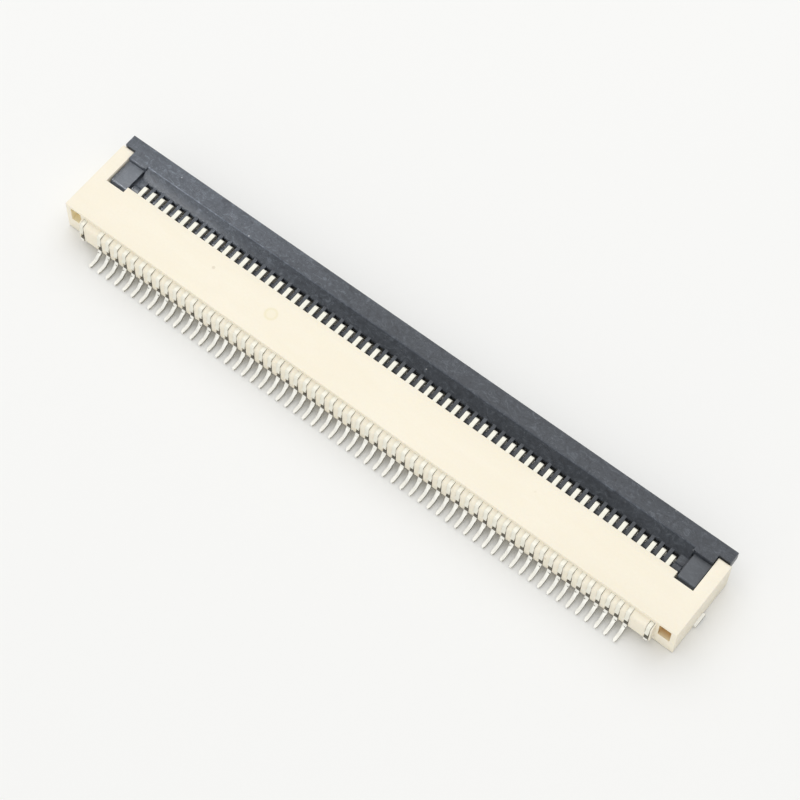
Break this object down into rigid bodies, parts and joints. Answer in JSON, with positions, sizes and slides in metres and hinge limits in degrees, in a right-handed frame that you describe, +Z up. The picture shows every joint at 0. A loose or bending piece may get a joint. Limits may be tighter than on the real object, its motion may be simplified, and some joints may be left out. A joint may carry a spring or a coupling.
{
  "type": "fpc connector",
  "caption": "Low-profile surface-mount connector for flat flexible cable: cream housing, one row of gull-wing contacts, black flip lock along the mouth.",
  "frame": {"origin": "middle of the footprint on the solder plane, the board's top face", "axes": "+X along the row of contacts, +Y out of the cable mouth, +Z up away from the board"},
  "size_m": [0.0342, 0.0058, 0.002],
  "materials": {
    "housing": "moulded, cream, fine satin",
    "lock": "moulded, black, glass filled, fine satin",
    "contact": "matte tin plating over copper alloy strip",
    "tab": "matte tin plating over copper alloy strip"
  },
  "bodies": {
    "base": {"housing": "housing", "solder_tab_left": "tab", "solder_tab_right": "tab", "contacts_01": "contact", "contacts_02": "contact", "contacts_03": "contact", "contacts_04": "contact", "contacts_05": "contact", "contacts_06": "contact", "contacts_07": "contact", "contacts_08": "contact", "contacts_09": "contact", "contacts_10": "contact", "contacts_11": "contact", "contacts_12": "contact", "contacts_13": "contact", "contacts_14": "contact", "contacts_15": "contact", "contacts_16": "contact", "contacts_17": "contact", "contacts_18": "contact", "contacts_19": "contact", "contacts_20": "contact"},
    "lock": {"actuator": "lock"}
  },
  "joints": [
    {"name": "lock_flip", "type": "hinge", "parent": "base", "child": "lock", "pos_m": [0, 0.00093, 0.00136], "axis": [1, 0, 0], "range_deg": [0, 90]}
  ]
}
